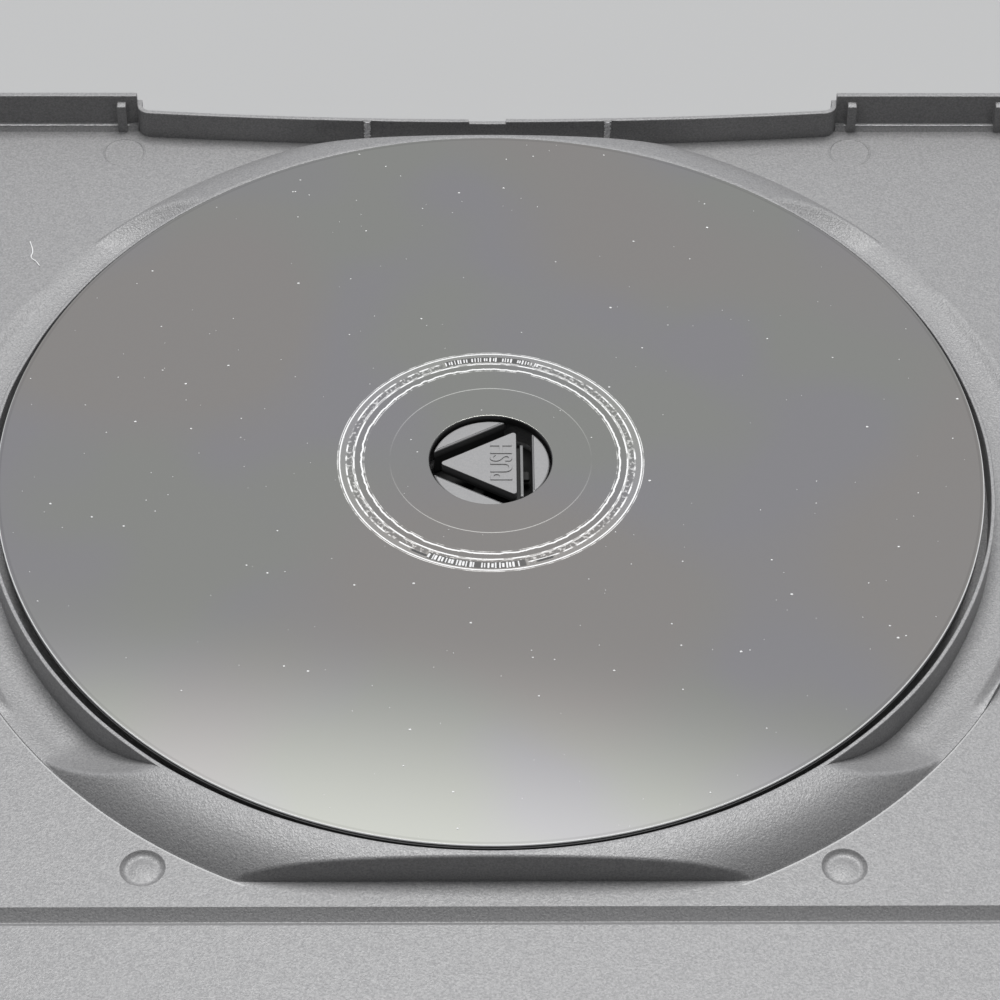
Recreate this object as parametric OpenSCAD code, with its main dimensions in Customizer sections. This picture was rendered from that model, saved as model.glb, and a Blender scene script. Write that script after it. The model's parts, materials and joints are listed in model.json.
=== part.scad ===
// Keep case for one game disc, lying open and flat, with the disc on its hub.
// X runs along the spine, +Y is the half with the disc, -Y is the front cover.
// The origin is the middle of the spine, on the surface that the case lies on.

/* [Case] */
// Length of the case along its spine
case_len = 190; // [180:1:230]
// Depth of the closed case, from the spine to the opening edge
case_depth = 135; // [134:0.5:160]
// Thickness of the closed case
case_thick = 14.4; // [14:0.1:22]
// Thickness of the moulded panels
panel_t = 1.4; // [1.2:0.1:1.8]
// Thickness of the tray's walls round the edge
wall_t = 0.8; // [0.6:0.1:1.6]
// Thickness of the front cover's walls round the edge
cover_wall_t = 1.2; // [0.8:0.1:1.6]
// Radius of the case's outer corners
corner_r = 3; // [2:0.5:6]
// Gap between the two rims when the case is closed
seam_gap = 0.1; // [0.1:0.05:0.4]
// Thickness of the moulding at its living hinges
web_t = 0.4; // [0.3:0.05:0.6]
// Gap between the panels along each hinge line
hinge_gap = 0.1; // [0.1:0.05:0.2]

/* [Sleeve] */
// Thickness of the clear film round the outside
film_t = 0.15; // [0.1:0.05:0.3]
// Distance from the film's edges to the case's edges
film_inset = 0.8; // [0.4:0.1:3]
// Thickness of the paper behind the film
paper_t = 0.2; // [0.1:0.05:0.3]
// Distance from the paper's edges to the film's edges
paper_inset = 2; // [1:0.5:4]

/* [Disc] */
// Diameter of the disc
disc_d = 120; // [116:0.5:121]
// Thickness of the disc
disc_t = 1.2; // [1:0.1:1.5]
// Diameter of the disc's centre hole
disc_hole_d = 15; // [15:0.1:16]
// Bevel on the disc's edges
disc_bevel = 0.12; // [0.05:0.01:0.3]
// Distance from the disc's rim to the far wall's inner face
disc_margin = 7.5; // [6.6:0.1:9]

/* [Disc well] */
// Gap between the disc's rim and the wall of its well
well_gap = 0.85; // [0.5:0.05:1.2]
// Thickness of the thin wall round the well
lip_t = 0.5; // [0.4:0.05:0.8]
// Width of the domed ring outside the thin wall
ring_w = 6.45; // [5:0.05:7]
// Thickness of the ring's shell, which is hollow underneath
ring_skin = 1.2; // [0.9:0.1:1.5]
// Height of the disc's seat above the tray's floor
seat_h = 3.35; // [2.8:0.05:3.8]
// Outer radius of the disc's seat
seat_r = 17; // [14:0.5:20]
// Distance from the thin wall's outer face to the flats that cut the ring
ring_flat = 0.05; // [0:0.05:0.3]

/* [Finger scoops] */
// Length of each scoop along the case's depth
scoop_len = 97.6; // [80:0.1:104]
// Length of the ramp at each end of a scoop
ramp_len = 8.5; // [8:0.5:16]
// Depth of a scoop's floor below the tray's floor
scoop_drop = 0.25; // [0.1:0.05:0.4]
// Height that a scoop's floor rises to at its outer rim
scoop_rise = 0.65; // [0.4:0.05:0.8]
// Width of the low rim left at a scoop's outer edge
rim_w = 0.35; // [0.2:0.05:0.6]

/* [Thumb notch] */
// Length of the notch in the opening edge
notch_len = 94; // [60:0.2:110]
// How far the notch stands in from the opening edge at its middle
notch_depth = 4.65; // [3.9:0.05:5]
// How much less it stands in at its ends
notch_sag = 1.95; // [1:0.05:2.4]
// Radius of the notch's corners
notch_r = 1.8; // [1.4:0.1:2.6]
// Thickness of the notch's wall on the tray
notch_t = 0.65; // [0.5:0.05:1.3]
// Thickness of the notch's wall on the front cover
cover_notch_t = 1.1; // [0.8:0.1:1.3]
// Height of the notch's wall above the tray's floor
notch_h = 4.15; // [3.5:0.05:5]
// Length of the finger dip at the middle of that wall's top
dip_len = 5; // [3:0.5:10]
// Depth of the finger dip
dip_h = 0.35; // [0.2:0.05:1]
// Distance from the middle to each upright strip on that wall
strip_x = 16.1; // [10:0.1:24]
// Width of an upright strip
strip_w = 1.07; // [0.8:0.01:2]
// How far a strip stands proud of the wall
strip_h = 0.15; // [0.05:0.05:0.3]

/* [Far ledge] */
// Width of the step along the far wall
ledge_w = 1; // [0.7:0.1:1.5]
// Height of the step above the tray's floor
ledge_h = 0.7; // [0.4:0.1:2]
// Distances from the middle to the ribs on the far wall
rib_x = [49.1, 69];
// Thickness of a rib
rib_w = 1.2; // [0.8:0.1:2]
// How far a rib reaches in past the step
rib_reach = 0.1; // [0.05:0.05:0.6]
// Drop from the wall's top to a rib's top
rib_drop = 1; // [0.5:0.1:2]

/* [Mould marks] */
// Diameter of the marks left by the mould
mark_d = 4.9; // [3:0.1:6]
// Depth of the round dimples near the spine
dimple_h = 0.6; // [0.3:0.05:0.9]
// Depth of the flat marks near the opening edge
mark_h = 0.06; // [0.05:0.01:0.3]
// Distances of a dimple from the disc's centre, along and across
dimple_xy = [39.2, 59.4];
// Distances of a flat mark from the disc's centre, along and across
mark_xy = [48.7, 62.3];

/* [Hub] */
// Clearance between the hub's head and the disc's hole
hub_clear = 0.3; // [0.2:0.05:0.5]
// Drop from the disc's top to the hub's top
hub_drop = 0.62; // [0.3:0.02:0.8]
// Distance from the hub's axis to the flat of each finger
finger_flat = 5.08; // [4.9:0.02:5.3]
// Distance from the hub's axis to each side of the push plate
plate_side = 3.15; // [2.8:0.05:3.4]
// Radius of the push plate's corners
plate_r = 0.35; // [0.2:0.05:0.8]
// Thickness of the push plate
plate_t = 1.5; // [1:0.1:1.8]
// Travel of the push plate
push_travel = 1; // [0.5:0.1:1.1]
// Gap under the moving pieces of the hub
hub_gap = 0.1; // [0.1:0.05:0.2]
// Gap between the hub's fingers and the wall round them
moat_w = 1.2; // [0.8:0.1:1.6]
// Radius of the push plate's stem
stem_r = 2; // [1.5:0.1:2.4]
// Width of the arms between the stem and the fingers
arm_w = 1.4; // [1:0.1:2]
// Thickness of those arms
arm_t = 0.6; // [0.4:0.1:0.8]
// Gap between an arm's end and its finger
arm_gap = 0.3; // [0.25:0.05:0.5]

/* [Booklet clips] */
// Distance from the middle to each clip, along the case
clip_x = 52; // [30:1:70]
// Radius of a clip's half-round tongue
clip_r = 11; // [8:0.5:14]
// Thickness of a tongue
clip_t = 1; // [0.8:0.1:1.4]
// Room under a tongue for the booklet
clip_room = 3.2; // [2.4:0.1:3.4]
// Thickness of the wall that a tongue hangs from
clip_wall = 1.2; // [0.8:0.1:1.6]
// Distance from the opening edge's wall to a clip
clip_edge = 8; // [6:0.5:20]
// Gap round a tongue's window in the panel
clip_gap = 0.3; // [0.2:0.1:0.6]

/* [Hidden] */

// Heights
paper_z = film_t;
base_z = film_t + paper_t;
floor_z = base_z + panel_t;
hinge_z = base_z + web_t/2;
seat_z = floor_z + seat_h;
disc_top = seat_z + disc_t;
wall_top = case_thick/2 - seam_gap/2;
notch_top = floor_z + notch_h;
scoop_z = floor_z - scoop_drop;
hub_top = disc_top - hub_drop;

// Places across the case
hinge_y = case_thick/2 - hinge_z;
edge_y = hinge_y - hinge_z + case_depth;
disc_r = disc_d/2;
disc_y = edge_y - wall_t - disc_margin - disc_r;
ledge_y = edge_y - wall_t - ledge_w;
// The walls start where the folded spine's inner face leaves them room
wall_start = hinge_y + floor_z - hinge_z + 1.5*hinge_gap;

// Radii round the disc's centre
well_r = disc_r + well_gap;
lip_r = well_r + lip_t;
ring_r = lip_r + ring_w;
ring_cut = lip_r + ring_flat;
hollow_cut = ring_cut - ring_skin;
hub_r = disc_hole_d/2 - hub_clear;
moat_r = hub_r + moat_w;
stem_z = floor_z + push_travel + hub_gap;
finger_z = floor_z + hub_gap;

// Thumb notch: a long arc with a rounded corner at each end
notch_half = notch_len/2;
notch_big_r = (pow(notch_half, 2) + pow(notch_sag, 2)) / (2*notch_sag);
notch_cy = edge_y - notch_depth + notch_big_r;
notch_angle = asin((notch_half - notch_r) / (notch_big_r - notch_r));
notch_corner = [notch_half - notch_r, notch_cy - (notch_big_r - notch_r)*cos(notch_angle)];

eps = 0.01;
far_out = 20;
case_colour = [0.30, 0.30, 0.32];

// Extrudes a (y, z) outline along X, about the case's middle
module along_x(length) {
    rotate([90, 0, 90]) linear_extrude(length, center = true) children();
}

module both_sides() {
    children();
    mirror([1, 0, 0]) children();
}

// Plan of one half, set in from its outer edges
module half_plan(inset, start) {
    half = case_len/2 - inset;
    far = edge_y - inset;
    r = max(corner_r - inset, 0.3);
    translate([-half, start]) square([2*half, far - r - start]);
    translate([r - half, start]) square([2*(half - r), far - start]);
    for (side = [-1, 1]) translate([side*(half - r), far - r]) circle(r, $fn = 64);
}

// Outline of the thumb notch's wall, set back by a part of its thickness
function notch_point(a, back) =
    [(notch_big_r - back)*sin(a), notch_cy - (notch_big_r - back)*cos(a)];
function corner_point(a, back, side) =
    [side*(notch_corner.x + (notch_r - back)*sin(a)), notch_corner.y - (notch_r - back)*cos(a)];
function notch_outline(back, n = 36, m = 8) = concat(
    [for (i = [0:n]) notch_point(notch_angle*(2*i/n - 1), back)],
    [for (i = [1:m]) corner_point(notch_angle + (90 - notch_angle)*i/m, back, 1)],
    [[notch_half - back, edge_y + far_out], [back - notch_half, edge_y + far_out]],
    [for (i = [0:m - 1]) corner_point(90 - (90 - notch_angle)*i/m, back, -1)]);

// The wall that bounds the thumb notch
module notch_wall(top, thickness) {
    translate([0, 0, base_z]) linear_extrude(top - base_z) intersection() {
        difference() {
            polygon(notch_outline(0));
            polygon(notch_outline(thickness));
        }
        translate([-case_len/2, 0]) square([case_len, edge_y]);
    }
}

// One half without its hub or clips: a panel, the walls round it and its thumb notch
module half_shell(notch_wall_top, wall, notch_thickness) {
    difference() {
        translate([0, 0, base_z]) linear_extrude(panel_t) half_plan(0, hinge_y + hinge_gap/2);
        hinge_mitre();
    }
    difference() {
        translate([0, 0, base_z]) linear_extrude(wall_top - base_z) difference() {
            half_plan(0, wall_start);
            half_plan(wall, wall_start - far_out);
        }
        translate([0, 0, floor_z]) linear_extrude(wall_top) polygon(notch_outline(0));
    }
    notch_wall(notch_wall_top, notch_thickness);
}

// The slope that lets a panel and the spine fold to a right angle
module hinge_mitre() {
    edge = hinge_y + hinge_gap/2;
    along_x(case_len + 1) polygon([
        [edge - eps, hinge_z], [edge, hinge_z], [edge + panel_t, hinge_z + panel_t],
        [edge - eps, hinge_z + panel_t]]);
}

// Height of the domed ring at a share of its width
function dome_z(share) = disc_top - (disc_top - floor_z)*(share + pow(share, 3))/2;

module ring_dome(n = 12) {
    rotate_extrude($fn = 240) polygon(concat(
        [[well_r, base_z], [well_r, disc_top]],
        [for (i = [0:n]) [lip_r + ring_w*i/n, dome_z(i/n)]],
        [[ring_r, base_z]]));
}

// The space under the dome, which keeps its shell an even thickness
module ring_hollow(n = 6) {
    inner = lip_r + ring_skin/2;
    outer = ring_r - ring_skin;
    rotate_extrude($fn = 240) polygon(concat(
        [[inner, base_z - eps]],
        [for (i = [0:n]) let (r = inner + (outer - inner)*i/n)
            [r, dome_z((r - lip_r)/ring_w) - 1.2*ring_skin]],
        [[outer + ring_skin/5, base_z - eps]]));
}

// Profile of a scoop's floor and ramps, seen along X, set down by a skin
function ramp_point(share, side, floor_height) =
    [side*(scoop_len/2 - ramp_len*(1 - share)),
     floor_height + (disc_top - floor_height)*pow(share, 1.75)];
module scoop_profile(n = 10) {
    polygon(concat(
        [for (i = [n:-1:0]) ramp_point(i/n, -1, scoop_z)],
        [for (i = [0:n]) ramp_point(i/n, 1, scoop_z)],
        [[scoop_len/2, disc_top + far_out], [-scoop_len/2, disc_top + far_out]]));
}

module scoop_cut() {
    intersection() {
        along_x(3*ring_r) scoop_profile();
        difference() {
            cylinder(h = far_out, r = ring_r - rim_w, $fn = 240);
            translate([0, 0, -1]) cylinder(h = far_out + 2, r = lip_r, $fn = 240);
        }
    }
}

// The scoop's floor turns up a little towards its rim
module scoop_floor() {
    outer = ring_r - rim_w/2;
    reach = asin((scoop_len/2 - ramp_len*0.68) / ring_r);
    for (side = [0, 180]) rotate([0, 0, side - reach])
        rotate_extrude(angle = 2*reach, $fn = 240) polygon([
            [outer - 3, base_z], [outer - 3, scoop_z], [outer - 1.2, scoop_z + scoop_rise*0.35],
            [outer, scoop_z + scoop_rise], [outer, base_z]]);
}

// Where the dome is hollow: between each end flat and the ramp of a scoop
module hollow_bands() {
    low = scoop_len/2 - ramp_len + 1.6*ring_skin;
    high = scoop_len/2 + ring_skin;
    for (side = [-1, 1]) along_x(3*ring_r) polygon([
        [side*low, base_z - 1], [side*low, base_z],
        [side*(low + ramp_len*0.45), base_z + ring_skin*1.3],
        [side*high, disc_top - ring_skin], [side*hollow_cut, disc_top - ring_skin],
        [side*hollow_cut, base_z - 1]]);
}

module disc_ring() {
    difference() {
        intersection() {
            ring_dome();
            along_x(3*ring_r) translate([-ring_cut, 0]) square([2*ring_cut, far_out]);
        }
        scoop_cut();
    }
    scoop_floor();
}

// Raised seat that the disc lies on, with the moat for the hub's fingers
module disc_seat() {
    rotate_extrude($fn = 128) polygon([
        [moat_r, base_z], [moat_r, seat_z], [seat_r - 0.3, seat_z], [seat_r, seat_z - 0.3],
        [seat_r, base_z]]);
}

module seat_hollow() {
    rotate_extrude($fn = 128) polygon([
        [moat_r + ring_skin, base_z - eps], [moat_r + ring_skin, seat_z - ring_skin],
        [seat_r - ring_skin, seat_z - ring_skin], [seat_r - ring_skin, base_z - eps]]);
}

module mould_marks() {
    dimple_r = (pow(mark_d/2, 2) + pow(dimple_h, 2)) / (2*dimple_h);
    for (side = [-1, 1]) {
        translate([side*dimple_xy.x, -dimple_xy.y, floor_z]) intersection() {
            translate([0, 0, dimple_r - dimple_h]) sphere(dimple_r, $fn = 64);
            translate([0, 0, -2*dimple_h]) cylinder(h = 2*dimple_h + eps, d = mark_d + 1, $fn = 64);
        }
        translate([side*mark_xy.x, mark_xy.y, floor_z - mark_h])
            cylinder(h = 1, d = mark_d, $fn = 64);
    }
}

// A step with a sloped front along the far wall, and the ribs above it
module far_ledge() {
    length = case_len/2 - wall_t - notch_half;
    slope = min(0.8*ledge_h, 0.7*ledge_w);
    both_sides() translate([notch_half + length/2, 0, 0]) along_x(length) polygon([
        [ledge_y, base_z], [ledge_y, floor_z], [ledge_y + slope, floor_z + ledge_h],
        [ledge_y + ledge_w + eps, floor_z + ledge_h], [ledge_y + ledge_w + eps, base_z]]);
    both_sides() for (x = rib_x)
        translate([x - rib_w/2, ledge_y - rib_reach, base_z])
            cube([rib_w, ledge_w + rib_reach + eps, wall_top - rib_drop - base_z]);
}

module notch_strips() {
    angle = asin(strip_x/notch_big_r);
    face_y = notch_cy - notch_big_r*cos(angle);
    both_sides() translate([strip_x - strip_w/2, face_y - strip_h, floor_z - eps])
        cube([strip_w, notch_t/2 + strip_h, notch_top - floor_z]);
}

module back_tray() {
    color(case_colour) difference() {
        union() {
            half_shell(notch_top, wall_t, notch_t);
            far_ledge();
            notch_strips();
            intersection() {
                translate([0, disc_y, 0]) {
                    disc_ring();
                    disc_seat();
                }
                // Nothing in the tray reaches into the fold
                translate([-case_len/2, wall_start, base_z])
                    cube([case_len, edge_y - wall_t - wall_start, case_thick]);
            }
        }
        translate([0, disc_y, 0]) {
            intersection() {
                ring_hollow();
                hollow_bands();
            }
            seat_hollow();
            mould_marks();
        }
        translate([-dip_len/2, edge_y - notch_depth - 1, notch_top - dip_h])
            cube([dip_len, notch_t + 2, 1]);
    }
}

// One of the hub's three fingers, at its angle round the disc's centre
module hub_finger(angle) {
    color(case_colour) translate([0, disc_y, finger_z]) rotate([0, 0, angle])
        linear_extrude(hub_top - finger_z) intersection() {
            circle(hub_r, $fn = 128);
            translate([finger_flat, -hub_r]) square([hub_r, 2*hub_r]);
        }
}
module hub_finger_right() { hub_finger(0); }
module hub_finger_far() { hub_finger(120); }
module hub_finger_near() { hub_finger(240); }

// Outline of a triangle with rounded corners, its first corner towards -X
function plate_outline(m = 6) = [for (k = [0:2], i = [0:m])
    let (middle = 180 + 120*k, a = middle - 60 + 120*i/m)
    2*(plate_side - plate_r)*[cos(middle), sin(middle)] + plate_r*[cos(a), sin(a)]];

module hub_push_plate() {
    color(case_colour) translate([0, disc_y, 0]) {
        translate([0, 0, hub_top - plate_t]) linear_extrude(plate_t) polygon(plate_outline());
        translate([0, 0, stem_z]) cylinder(h = hub_top - plate_t/2 - stem_z, r = stem_r, $fn = 64);
        for (angle = [0, 120, 240]) rotate([0, 0, angle]) translate([0, -arm_w/2, stem_z])
            cube([finger_flat - arm_gap, arm_w, arm_t]);
    }
}

module spine() {
    reach = hinge_y - hinge_gap/2;
    slope = floor_z - hinge_z;
    color(case_colour) along_x(case_len) polygon([
        [-reach, base_z], [reach, base_z], [reach, hinge_z], [reach - slope, floor_z],
        [slope - reach, floor_z], [-reach, hinge_z]]);
}

// A half-round tongue that holds the booklet, over its window in the panel
clip_y = edge_y - cover_wall_t - clip_edge - clip_wall;
module clip_plan(extra) {
    translate([0, clip_y]) intersection() {
        circle(clip_r + extra, $fn = 96);
        translate([-far_out, -far_out]) square([2*far_out, far_out]);
    }
}

module booklet_clip() {
    tongue_z = floor_z + clip_room;
    translate([0, 0, tongue_z]) linear_extrude(clip_t) clip_plan(0);
    translate([-clip_r, clip_y - eps, base_z])
        cube([2*clip_r, clip_wall + eps, tongue_z + clip_t - base_z]);
}

module front_cover() {
    color(case_colour) mirror([0, 1, 0]) {
        difference() {
            half_shell(case_thick - seam_gap - notch_top, cover_wall_t, cover_notch_t);
            both_sides() translate([clip_x, 0, -1]) linear_extrude(floor_z + 2)
                clip_plan(clip_gap);
        }
        both_sides() translate([clip_x, 0, 0]) booklet_clip();
    }
}

module disc() {
    hole_r = disc_hole_d/2;
    color([0.72, 0.72, 0.70]) translate([0, disc_y, seat_z]) rotate_extrude($fn = 240) polygon([
        [hole_r + disc_bevel, 0], [disc_r - disc_bevel, 0], [disc_r, disc_bevel],
        [disc_r, disc_t - disc_bevel], [disc_r - disc_bevel, disc_t],
        [hole_r + disc_bevel, disc_t], [hole_r, disc_t - disc_bevel], [hole_r, disc_bevel]]);
}

// A flat sheet under one half or under the spine
module sheet(inset, start, end, z, t) {
    translate([inset - case_len/2, start, z]) cube([case_len - 2*inset, end - start, t]);
}
fold_y = hinge_y + hinge_gap/2;
spine_y = hinge_y - hinge_gap/2;
film_colour = [0.8, 0.85, 0.9, 0.4];
paper_colour = [0.16, 0.24, 0.34];

module film_back() {
    color(film_colour) sheet(film_inset, fold_y, edge_y - film_inset, 0, film_t);
}
module film_spine() {
    color(film_colour) sheet(film_inset, -spine_y, spine_y, 0, film_t);
}
module film_front() {
    color(film_colour) mirror([0, 1, 0])
        sheet(film_inset, fold_y, edge_y - film_inset, 0, film_t);
}
paper_edge = film_inset + paper_inset;
module paper_back() {
    color(paper_colour) sheet(paper_edge, fold_y, edge_y - paper_edge, paper_z, paper_t);
}
module paper_spine() {
    color(paper_colour) sheet(paper_edge, -spine_y, spine_y, paper_z, paper_t);
}
module paper_front() {
    color(paper_colour) mirror([0, 1, 0])
        sheet(paper_edge, fold_y, edge_y - paper_edge, paper_z, paper_t);
}

back_tray();
hub_push_plate();
hub_finger_right();
hub_finger_far();
hub_finger_near();
spine();
front_cover();
disc();
film_back();
film_spine();
film_front();
paper_back();
paper_spine();
paper_front();
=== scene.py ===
# %% [markdown]
# # A disc case, open on a table
#
# This notebook dresses a game disc's keep case. The case is one moulding of dark, finely textured
# plastic that lies open and flat: a tray with the disc on its hub, a spine, and a front cover.
#
# The construction already exists as a imported CAD model. Blender loads it as a fixed frame, and each
# visible piece is built on top of that frame, in metres. Most of them ride on one of its bodies. Nothing
# here moves or resizes a CAD part, so the case still folds shut on its own hinges.

import json
import math
import random

import bmesh
import bpy
from mathutils import Matrix, Vector

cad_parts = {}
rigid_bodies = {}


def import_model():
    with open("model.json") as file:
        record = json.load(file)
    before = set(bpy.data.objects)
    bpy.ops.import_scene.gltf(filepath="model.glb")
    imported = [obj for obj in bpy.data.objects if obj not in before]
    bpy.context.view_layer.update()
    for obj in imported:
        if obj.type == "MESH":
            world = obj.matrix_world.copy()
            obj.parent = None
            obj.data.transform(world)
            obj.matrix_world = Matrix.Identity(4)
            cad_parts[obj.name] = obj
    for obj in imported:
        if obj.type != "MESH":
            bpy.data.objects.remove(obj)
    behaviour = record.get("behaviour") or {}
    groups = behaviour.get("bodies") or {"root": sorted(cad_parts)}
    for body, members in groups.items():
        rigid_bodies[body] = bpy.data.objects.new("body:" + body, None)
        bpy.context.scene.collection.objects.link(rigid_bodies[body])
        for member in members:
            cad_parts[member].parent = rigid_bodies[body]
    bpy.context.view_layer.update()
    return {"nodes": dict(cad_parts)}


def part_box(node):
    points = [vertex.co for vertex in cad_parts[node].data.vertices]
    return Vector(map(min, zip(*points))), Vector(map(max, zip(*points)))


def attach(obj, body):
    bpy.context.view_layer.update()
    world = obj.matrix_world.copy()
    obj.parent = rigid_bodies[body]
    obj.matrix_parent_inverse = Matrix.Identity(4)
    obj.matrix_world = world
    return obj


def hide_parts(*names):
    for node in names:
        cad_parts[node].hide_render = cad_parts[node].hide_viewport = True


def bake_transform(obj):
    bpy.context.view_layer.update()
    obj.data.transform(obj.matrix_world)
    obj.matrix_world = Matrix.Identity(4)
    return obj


for old in list(bpy.data.objects):
    bpy.data.objects.remove(old, do_unlink=True)

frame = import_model()
MM = 0.001

# %% [markdown]
# ## Sizes that the pieces share
#
# Every size below but the hole's radius is read off the imported solids, so a changed CAD size carries
# through. The disc's middle is the centre of its own box, and its top face stands a little above the ring
# round the well.

# %% Read the sizes off the frame
disc_low, disc_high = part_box("disc")
tray_low, tray_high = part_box("back_tray")
spine_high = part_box("spine")[1]
film_low, film_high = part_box("film_back")
paper_low, paper_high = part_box("paper_back")
plate_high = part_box("hub_push_plate")[1]

DISC = (disc_low + disc_high) / 2
DISC_TOP = disc_high.z
DISC_RADIUS = (disc_high.y - disc_low.y) / 2
HOLE_RADIUS = 7.5 * MM
BASE_Z = tray_low.z
FLOOR_Z = spine_high.z
HINGE_Y = abs(spine_high.y)
print(f"disc radius {DISC_RADIUS / MM:.2f} mm, middle at y {DISC.y / MM:.2f} mm")
print(f"disc top at z {DISC_TOP / MM:.2f} mm, tray floor at z {FLOOR_Z / MM:.2f} mm")

# %% [markdown]
# ## The camera
#
# The photograph looks down at 46 degrees with a long lens. Its pinhole was fitted to the disc's rim
# and hole, which are true circles: an aim point close to the disc's middle, a distance, an elevation,
# and two small angles, one for the case turned on the table and one for the camera's own roll.

# %% Place the camera
def into_scene(name, data):
    """An object for the data, linked to the scene."""
    thing = bpy.data.objects.new(name, data)
    bpy.context.scene.collection.objects.link(thing)
    return thing


AIM = Vector((1.085 * MM, DISC.y - 6.898 * MM, DISC_TOP))
DISTANCE = 448.857 * MM
ELEVATION = math.radians(46.1006)
TURN = math.radians(0.93)
ROLL = math.radians(0.6186)

camera_data = bpy.data.cameras.new("camera")
camera_data.lens = 134.05
camera_data.sensor_width = 36
camera_data.clip_start = 0.01
camera = into_scene("camera", camera_data)
turned = (Matrix.Rotation(-TURN, 4, "Z")
          @ Matrix.Rotation(math.pi / 2 - ELEVATION, 4, "X")
          @ Matrix.Rotation(ROLL, 4, "Z"))
camera.matrix_world = Matrix.Translation(AIM + turned.to_3x3() @ Vector((0, 0, DISTANCE))) @ turned
bpy.context.scene.camera = camera
print("camera at", [round(v, 4) for v in camera.matrix_world.translation])

# %% [markdown]
# ## Building node trees in code
#
# Shader and geometry trees are built the same way: add a node, set its unlinked sockets by name, link
# sockets. One small helper keeps the material cells readable. A value that is a socket is linked, and
# any other value is typed into the socket.


# %% Helpers that add and wire a node
def add(tree, kind, values=None, **settings):
    """Adds a node. values maps input names or numbers to plain values or to output sockets."""
    node = tree.nodes.new(kind)
    for name, value in settings.items():
        setattr(node, name, value)
    for key, value in (values or {}).items():
        socket = node.inputs[key]
        if isinstance(value, bpy.types.NodeSocket):
            tree.links.new(value, socket)
        else:
            socket.default_value = value
    return node


def math_node(tree, operation, a, b=0.0, c=0.0):
    """One arithmetic step, as its output socket."""
    return add(tree, "ShaderNodeMath", {0: a, 1: b, 2: c}, operation=operation).outputs[0]


def span(tree, value, low, high, start=0.0, end=1.0, soft=False):
    """Maps low..high to start..end, clamped, as its output socket."""
    kind = "SMOOTHSTEP" if soft else "LINEAR"
    return add(tree, "ShaderNodeMapRange", {0: value, 1: low, 2: high, 3: start, 4: end},
               interpolation_type=kind).outputs[0]


def grey(value, tint=(1, 1, 1)):
    """A linear colour from one brightness and a slight tint."""
    return (value * tint[0], value * tint[1], value * tint[2], 1)


def mix_colour(tree, share, a, b):
    """A blend of two colours, as its output socket."""
    node = add(tree, "ShaderNodeMix", data_type="RGBA")
    for socket, value in ((node.inputs[0], share), (node.inputs[6], a), (node.inputs[7], b)):
        if isinstance(value, bpy.types.NodeSocket):
            tree.links.new(value, socket)
        else:
            socket.default_value = value
    return node.outputs[2]


# %% [markdown]
# ## Shared effects as node groups
#
# Two effects turn up in more than one finish, so each is a group with named inputs:
#
# - *moulded grain*, the spark-eroded texture of the mould, as a height and a fleck mask;
# - *ring*, a soft band at a radius from an axis, which the disc's printed and moulded rings use.
#
# Groups hand out masks and heights only. The Principled shader stays in each material.


# %% Helpers that start and use a node group
def new_group(name, inputs, outputs):
    """A shader group with float inputs given as name: default, plus a Vector input first."""
    tree = bpy.data.node_groups.new(name, "ShaderNodeTree")
    tree.interface.new_socket("Vector", in_out="INPUT", socket_type="NodeSocketVector")
    for label, default in inputs.items():
        socket = tree.interface.new_socket(label, in_out="INPUT", socket_type="NodeSocketFloat")
        socket.default_value = default
    for label in outputs:
        tree.interface.new_socket(label, in_out="OUTPUT", socket_type="NodeSocketFloat")
    return tree, tree.nodes.new("NodeGroupInput"), tree.nodes.new("NodeGroupOutput")


def use_group(tree, group, vector, **values):
    """Places a group in a material with its own values."""
    node = add(tree, "ShaderNodeGroup", node_tree=group)
    tree.links.new(vector, node.inputs["Vector"])
    for label, value in values.items():
        socket = node.inputs[label.replace("_", " ")]
        if isinstance(value, bpy.types.NodeSocket):
            tree.links.new(value, socket)
        else:
            socket.default_value = value
    return node.outputs


# %% The moulded grain
grain_group, start, end = new_group(
    "moulded_grain", {"Grain": 0.0004, "Leather": 0.0}, ["Height", "Fleck"])
scale = math_node(grain_group, "DIVIDE", 1.0, start.outputs["Grain"])
fine = add(grain_group, "ShaderNodeTexNoise", {
    "Vector": start.outputs["Vector"], "Scale": scale, "Detail": 2.0, "Roughness": 0.7})
folds = add(grain_group, "ShaderNodeTexNoise", {
    "Vector": start.outputs["Vector"], "Scale": math_node(grain_group, "MULTIPLY", scale, 0.45),
    "Detail": 1.0, "Distortion": 0.8})
ridge = math_node(grain_group, "ABSOLUTE",
                  math_node(grain_group, "SUBTRACT", folds.outputs[0], 0.5))
leather = math_node(grain_group, "MULTIPLY", ridge, start.outputs["Leather"])
grain_group.links.new(math_node(grain_group, "ADD", fine.outputs[0], leather), end.inputs["Height"])
grain_group.links.new(span(grain_group, fine.outputs[0], 0.33, 0.67), end.inputs["Fleck"])

# %% A soft ring round the disc's axis
ring_group, start, end = new_group(
    "ring", {"Radius": 0.02, "Half Width": 0.0002, "Softness": 0.0001}, ["Mask"])
flat = add(ring_group, "ShaderNodeVectorMath", {0: start.outputs["Vector"], 1: (1, 1, 0)},
           operation="MULTIPLY")
reach = add(ring_group, "ShaderNodeVectorMath", {0: flat.outputs[0]}, operation="LENGTH")
away = math_node(ring_group, "ABSOLUTE",
                 math_node(ring_group, "SUBTRACT", reach.outputs["Value"], start.outputs["Radius"]))
past = math_node(ring_group, "SUBTRACT", away, start.outputs["Half Width"])
soft = math_node(ring_group, "DIVIDE", past, start.outputs["Softness"])
band = add(ring_group, "ShaderNodeClamp", {0: math_node(ring_group, "SUBTRACT", 1.0, soft)})
ring_group.links.new(band.outputs[0], end.inputs["Mask"])
print("groups:", grain_group.name, ring_group.name)
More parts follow.
